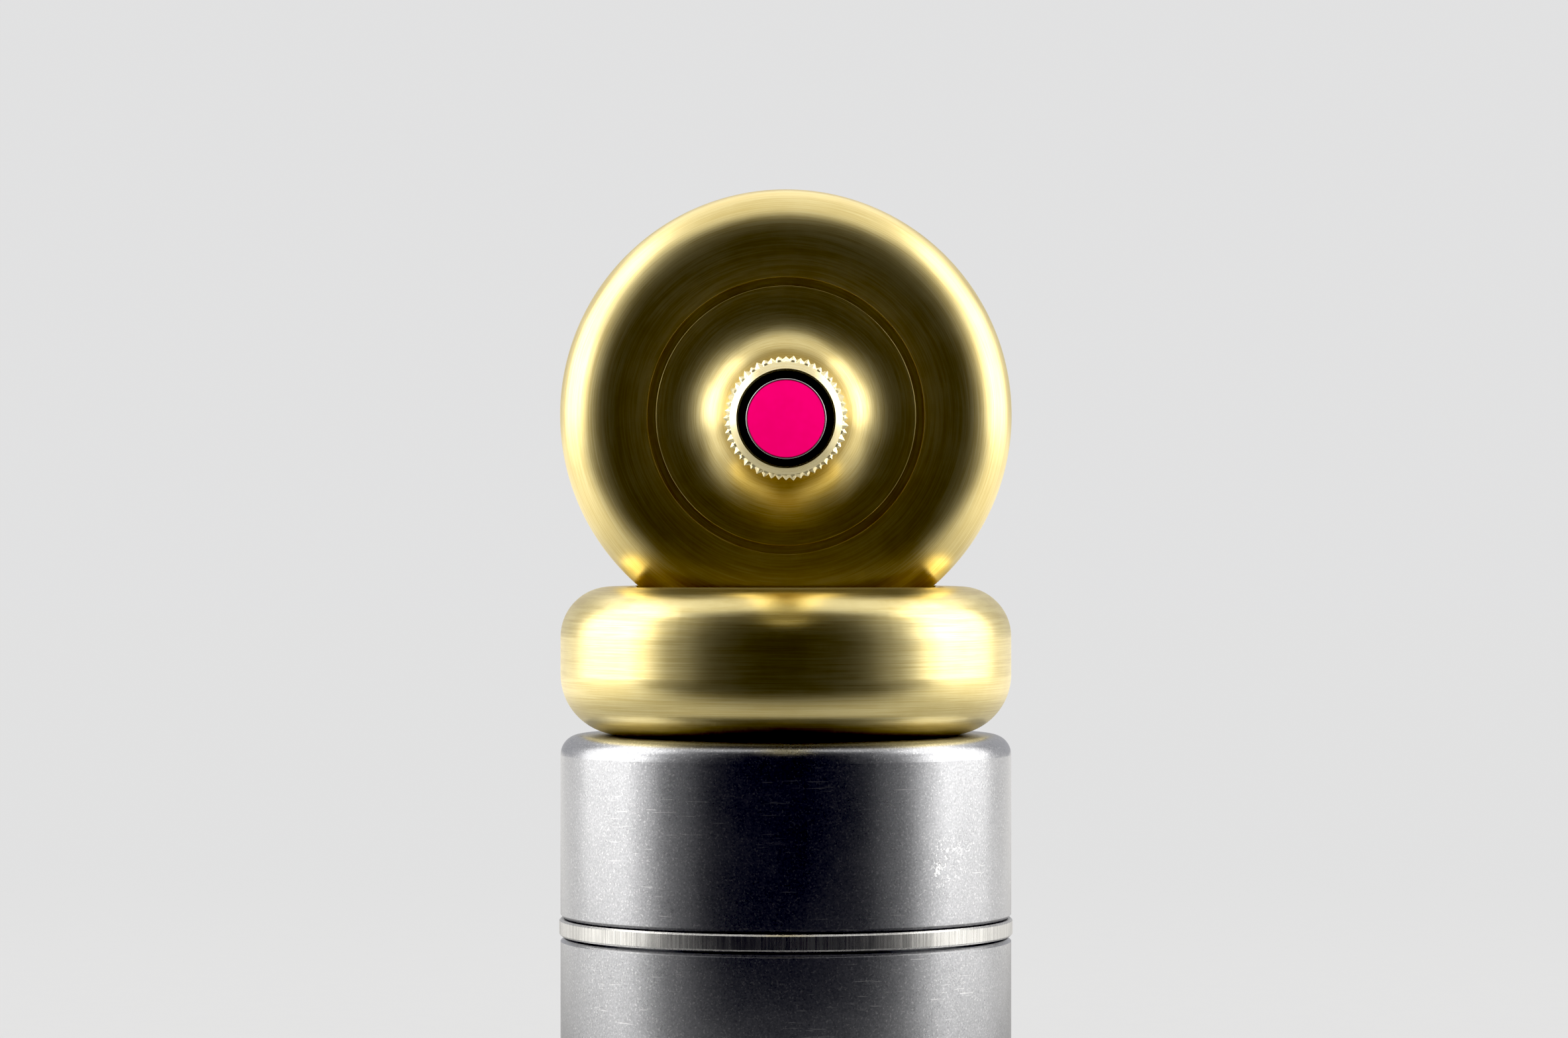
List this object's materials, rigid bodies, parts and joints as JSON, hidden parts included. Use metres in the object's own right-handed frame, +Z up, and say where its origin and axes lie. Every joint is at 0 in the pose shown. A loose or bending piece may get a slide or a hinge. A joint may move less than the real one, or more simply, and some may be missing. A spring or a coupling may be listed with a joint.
{
  "type": "bicycle bell",
  "caption": "Push-button bicycle bell: a brass gong on edge with a button stem, on a brass collar and a swivelling aluminium barrel and base for a steerer tube.",
  "frame": {"origin": "centre of the base's underside, in the mouth of the steerer recess", "axes": "+Z up the base and barrel, the button faces -Y, +X to the right seen from the button's side"},
  "size_m": [0.0362, 0.0554, 0.0758],
  "materials": {
    "blasted_aluminium": "bead-blasted, satin",
    "lock_ring_steel": "fine vertical serration",
    "collar_brass": "turned, lightly lacquered",
    "gong_brass": "turned bell brass, polished flare",
    "stem_brass": "turned and knurled",
    "button_metal": "polished",
    "button_pink": "glossy acrylic",
    "bush_black": "acetal",
    "bracket_steel": "brushed",
    "movement_steel": "turned",
    "screw_steel": "blackened",
    "spring_steel": "bright wire",
    "lever_steel": "hardened",
    "hammer_steel": "polished",
    "bush_bronze": "sintered bronze",
    "seal_rubber": "nitrile",
    "fibre": "vulcanised fibre"
  },
  "bodies": {
    "base": {"base_cup": "blasted_aluminium", "swivel_oring": "seal_rubber"},
    "lock_ring": {"lock_ring": "lock_ring_steel"},
    "turret": {"barrel": "blasted_aluminium", "retaining_screws": "screw_steel", "collar": "collar_brass", "collar_screws": "screw_steel", "bell_bracket": "bracket_steel", "bracket_screws": "screw_steel", "movement_frame": "movement_steel", "frame_screws": "screw_steel", "rear_washer": "fibre", "front_washer": "fibre", "gong": "gong_brass", "neck_sleeve": "stem_brass", "bezel_nut": "stem_brass", "guide_bush": "bush_black", "pivot_pin": "movement_steel", "pivot_clips": "spring_steel", "lever_spacers": "fibre"},
    "plunger": {"button_cap": "button_metal", "button_insert": "button_pink", "plunger_rod": "movement_steel", "return_spring": "spring_steel"},
    "hammer": {"hammer_lever": "lever_steel", "hammer_bush": "bush_bronze", "hammer_head": "hammer_steel"}
  },
  "joints": [
    {"name": "turret_swivel", "type": "hinge", "parent": "base", "child": "turret", "pos_m": [0, 0, 0.022], "axis": [0, 0, 1], "continuous": true},
    {"name": "lock_ring_turn", "type": "hinge", "parent": "base", "child": "lock_ring", "pos_m": [0, 0, 0.0169], "axis": [0, 0, 1], "range_deg": [-60, 0]},
    {"name": "button_press", "type": "slide", "parent": "turret", "child": "plunger", "axis": [0, 0.9997, 0.0262], "range_m": [0, 0.003], "stiffness_N_per_m": 400, "springref_m": -0.004, "deforming": ["return_spring"]},
    {"name": "hammer_swing", "type": "hinge", "parent": "turret", "child": "hammer", "pos_m": [0, -0.00134, 0.06297], "axis": [1, 0, 0], "range_deg": [0, 39.1]}
  ],
  "couplings": [
    {"joint": "hammer_swing", "follows": "button_press", "rad_per_m": 227.27}
  ]
}
